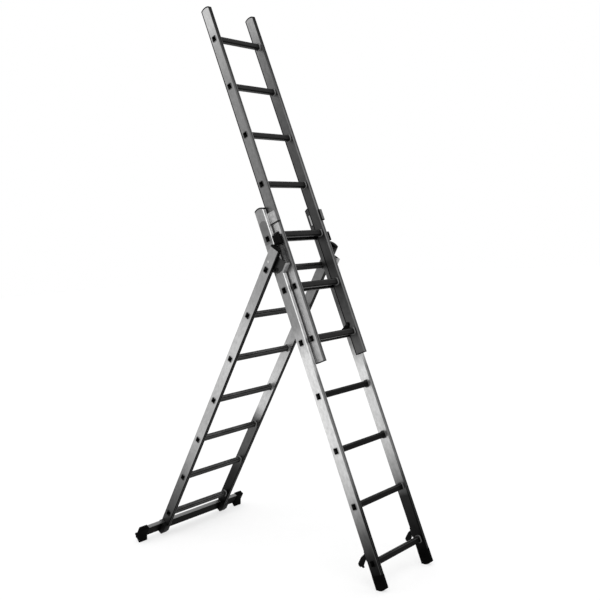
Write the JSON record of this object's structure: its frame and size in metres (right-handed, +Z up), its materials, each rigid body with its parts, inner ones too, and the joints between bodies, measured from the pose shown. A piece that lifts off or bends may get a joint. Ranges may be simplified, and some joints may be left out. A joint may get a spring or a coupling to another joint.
{
  "type": "combination ladder",
  "caption": "Aluminium combination ladder: hinged step-ladder legs, a sliding upper section held by rung catches, and a stabiliser bar with rubber feet.",
  "frame": {"origin": "on the floor, in the middle of the open ladder's footprint", "axes": "+X across the ladder to the climber's right, +Y from the climbed front legs to the rear legs, +Z up"},
  "size_m": [0.83, 1.638, 2.9632],
  "materials": {
    "stile_aluminium": "extruded, brushed by handling",
    "rung_aluminium": "extruded, ribbed tread",
    "bar_aluminium": "black coated extrusion",
    "bracket_aluminium": "folded sheet",
    "black_plastic": "moulded, fine grain",
    "black_rubber": "matt rubber",
    "black_steel": "black powder coat",
    "fastener_steel": "zinc plated"
  },
  "bodies": {
    "front_section": {"front_foot_left": "black_rubber", "front_foot_right": "black_rubber", "front_rivets": "fastener_steel", "front_rung_1": "rung_aluminium", "front_rung_2": "rung_aluminium", "front_rung_3": "rung_aluminium", "front_rung_4": "rung_aluminium", "front_rung_5": "rung_aluminium", "front_rung_6": "rung_aluminium", "front_rung_7": "rung_aluminium", "front_stile_left": "stile_aluminium", "front_stile_right": "stile_aluminium", "front_top_cap_left": "black_plastic", "front_top_cap_right": "black_plastic", "guide_backing_plates": "bracket_aluminium", "guide_bracket_left": "bracket_aluminium", "guide_bracket_right": "bracket_aluminium", "guide_pad_left": "black_plastic", "guide_pad_right": "black_plastic", "lower_hook_left": "black_steel", "lower_hook_right": "black_steel", "pivot_pins": "fastener_steel"},
    "rear_section": {"bar_bolts": "fastener_steel", "bar_bracket_left": "black_steel", "bar_bracket_right": "black_steel", "bar_foot_left": "black_rubber", "bar_foot_right": "black_rubber", "hinge_plate_left": "black_steel", "hinge_plate_right": "black_steel", "rear_rivets": "fastener_steel", "rear_rung_1": "rung_aluminium", "rear_rung_2": "rung_aluminium", "rear_rung_3": "rung_aluminium", "rear_rung_4": "rung_aluminium", "rear_rung_5": "rung_aluminium", "rear_rung_6": "rung_aluminium", "rear_rung_7": "rung_aluminium", "rear_stile_left": "stile_aluminium", "rear_stile_right": "stile_aluminium", "rear_top_cap_left": "black_plastic", "rear_top_cap_right": "black_plastic", "stabiliser_bar": "bar_aluminium", "stop_block_left": "black_rubber", "stop_block_right": "black_rubber"},
    "sliding_section": {"catch_pins": "fastener_steel", "slide_end_plug_left": "black_plastic", "slide_end_plug_right": "black_plastic", "slide_rung_1": "rung_aluminium", "slide_rung_2": "rung_aluminium", "slide_rung_3": "rung_aluminium", "slide_rung_4": "rung_aluminium", "slide_rung_5": "rung_aluminium", "slide_rung_6": "rung_aluminium", "slide_rung_7": "rung_aluminium", "slide_stile_left": "stile_aluminium", "slide_stile_right": "stile_aluminium", "slide_top_cap_left": "black_plastic", "slide_top_cap_right": "black_plastic"},
    "catch_left": {"catch_hook_left": "black_steel"},
    "catch_right": {"catch_hook_right": "black_steel"}
  },
  "joints": [
    {"name": "rear_fold", "type": "hinge", "parent": "front_section", "child": "rear_section", "pos_m": [0, -0.24298, 1.55191], "axis": [1, 0, 0], "range_deg": [-52, 0]},
    {"name": "top_slide", "type": "slide", "parent": "front_section", "child": "sliding_section", "axis": [0, 0.3342, 0.9425], "range_m": [-1.12, 0.03]},
    {"name": "catch_left_swing", "type": "hinge", "parent": "sliding_section", "child": "catch_left", "pos_m": [0, -0.38812, 1.23627], "axis": [1, 0, 0], "range_deg": [0, 110]},
    {"name": "catch_right_swing", "type": "hinge", "parent": "sliding_section", "child": "catch_right", "pos_m": [0, -0.38812, 1.23627], "axis": [1, 0, 0], "range_deg": [0, 110]}
  ],
  "couplings": [
    {"joint": "catch_right_swing", "follows": "catch_left_swing", "ratio": 1}
  ]
}
